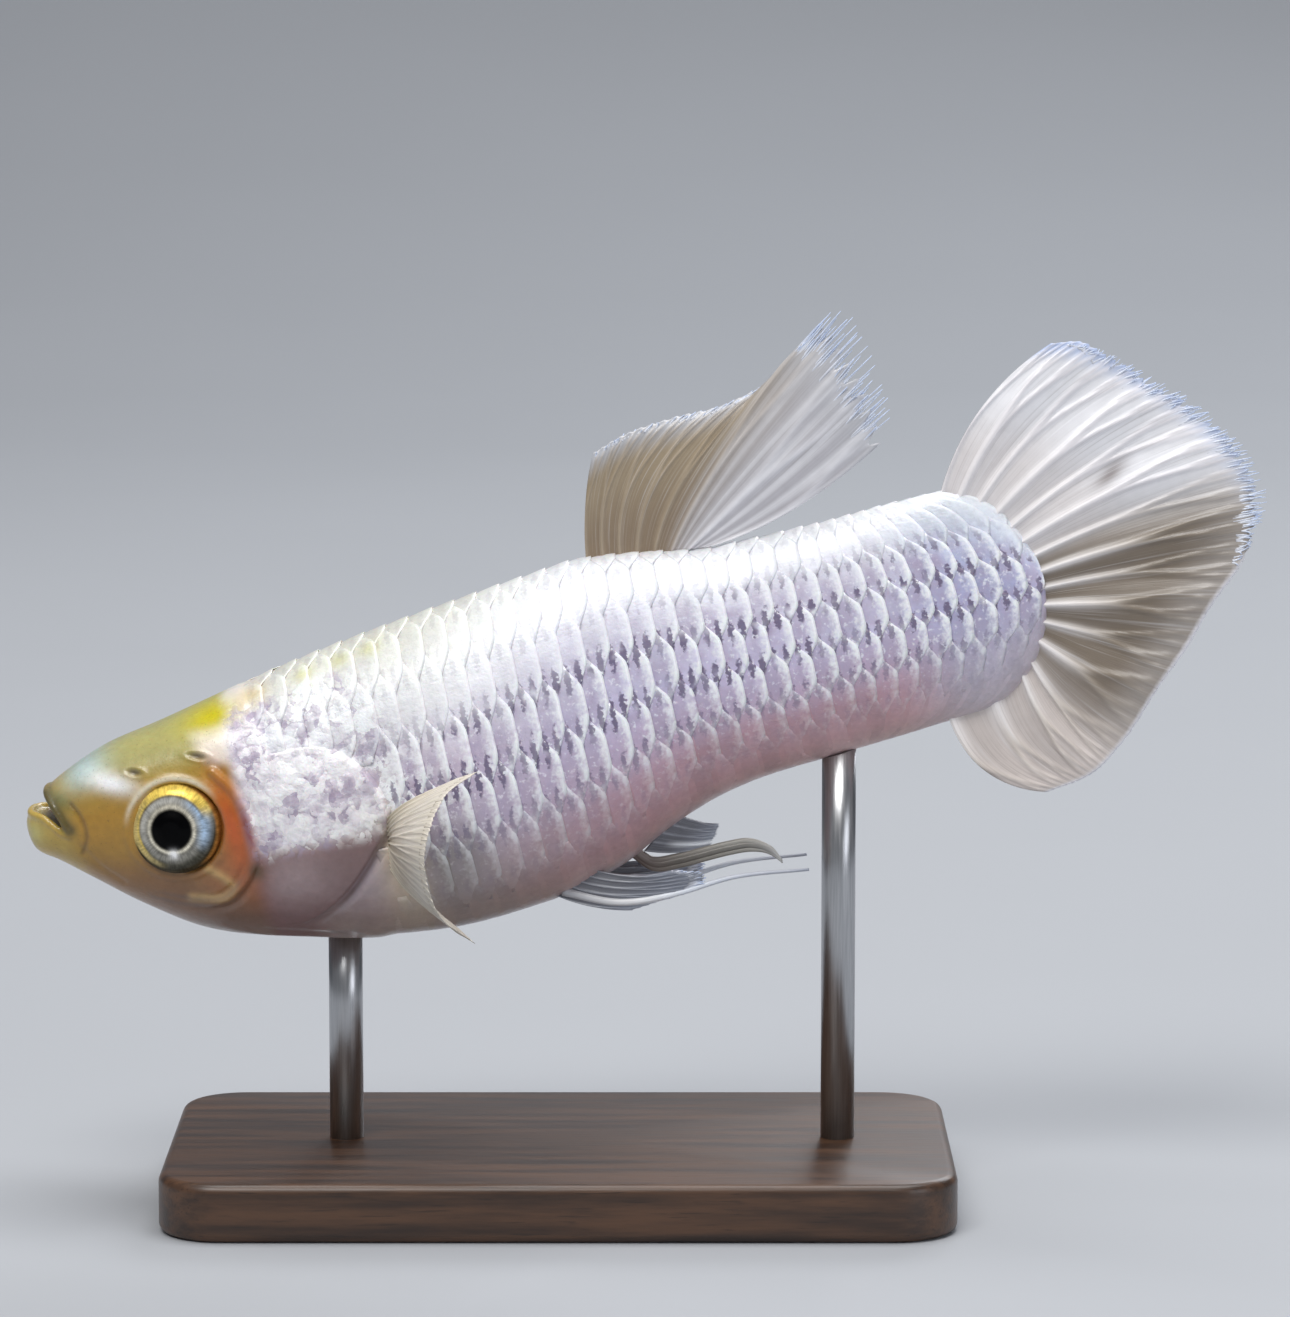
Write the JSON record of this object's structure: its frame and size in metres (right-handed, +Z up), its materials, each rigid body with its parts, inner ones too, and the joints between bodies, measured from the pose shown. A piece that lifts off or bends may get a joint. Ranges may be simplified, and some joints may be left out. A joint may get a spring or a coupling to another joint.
{
  "type": "fancy guppy",
  "caption": "Life-size still model of a stout white male fancy guppy with a fan tail and a raised dorsal fin, nose down on a small base with two rods, for display.",
  "frame": {"origin": "centre of the stand base's underside", "axes": "+X from the fish's snout towards its tail along the base, +Y to the fish's right side, +Z up; the fish's body slopes 13 degrees nose down from +X"},
  "size_m": [0.0426, 0.0162, 0.0308],
  "materials": {
    "scaled_skin": "pearl white scales with a lilac sheen, wet and glossy",
    "head_skin": "olive-gold skin with yellow spots, wet and glossy",
    "gill_cover": "silver-white over pinkish brown, wet and glossy",
    "eye": "silver and gold iris with a black pupil, polished",
    "fin": "milky white membrane with pale raised rays, satin",
    "stand_base": "dark stained wood, satin",
    "stand_rod": "plain drawn rod"
  },
  "bodies": {
    "root": {"head": "head_skin", "lower_jaw": "head_skin", "gill_cover_left": "gill_cover", "gill_cover_right": "gill_cover", "eye_left": "eye", "eye_right": "eye", "trunk": "scaled_skin", "tail_stalk": "scaled_skin", "dorsal_fin": "fin", "tail_fin": "fin", "gonopodium": "fin", "pectoral_fin_left": "fin", "pectoral_fin_right": "fin", "pelvic_fin_left": "fin", "pelvic_fin_right": "fin", "stand_base": "stand_base", "stand_rod_front": "stand_rod", "stand_rod_rear": "stand_rod"}
  },
  "joints": []
}
